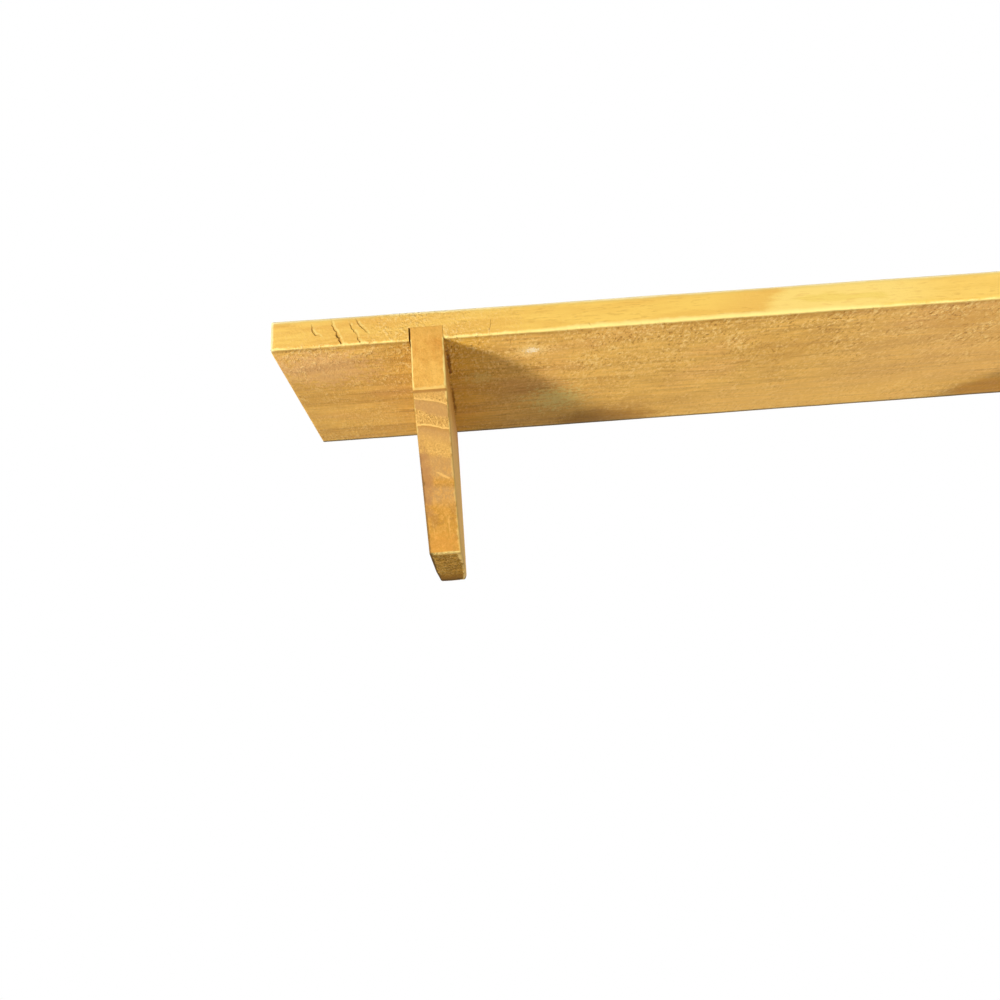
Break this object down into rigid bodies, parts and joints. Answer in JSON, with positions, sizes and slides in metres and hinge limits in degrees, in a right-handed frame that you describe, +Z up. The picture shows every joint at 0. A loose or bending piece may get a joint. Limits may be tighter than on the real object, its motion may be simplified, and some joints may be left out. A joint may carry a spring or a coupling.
{
  "type": "wall-hung trinket shelf",
  "caption": "Small wall-hung wooden trinket shelf: a straight board on sawn brackets let into its underside, with toothed steel hangers recessed in its rear edge.",
  "frame": {"origin": "the middle of the board's rear edge, mid-length and mid-thickness, on the wall plane", "axes": "+X along the board's length to the viewer's right, +Y into the wall, +Z up"},
  "size_m": [0.343, 0.068, 0.0655],
  "materials": {
    "shelf_wood": "honey-coloured varnish, satin, worn pale along the arrises",
    "bracket_wood": "honey-coloured varnish, satin, rough sawn on the bevel and the foot",
    "nail_steel": "dull bright steel",
    "hanger_steel": "pressed steel with a thin yellowed zinc plate"
  },
  "bodies": {
    "root": {"shelf_board": "shelf_wood", "left_bracket": "bracket_wood", "right_bracket": "bracket_wood", "left_bracket_front_brad": "nail_steel", "left_bracket_rear_brad": "nail_steel", "right_bracket_front_brad": "nail_steel", "right_bracket_rear_brad": "nail_steel", "left_hanger": "hanger_steel", "right_hanger": "hanger_steel", "left_hanger_left_tack": "nail_steel", "left_hanger_right_tack": "nail_steel", "right_hanger_left_tack": "nail_steel", "right_hanger_right_tack": "nail_steel"}
  },
  "joints": []
}
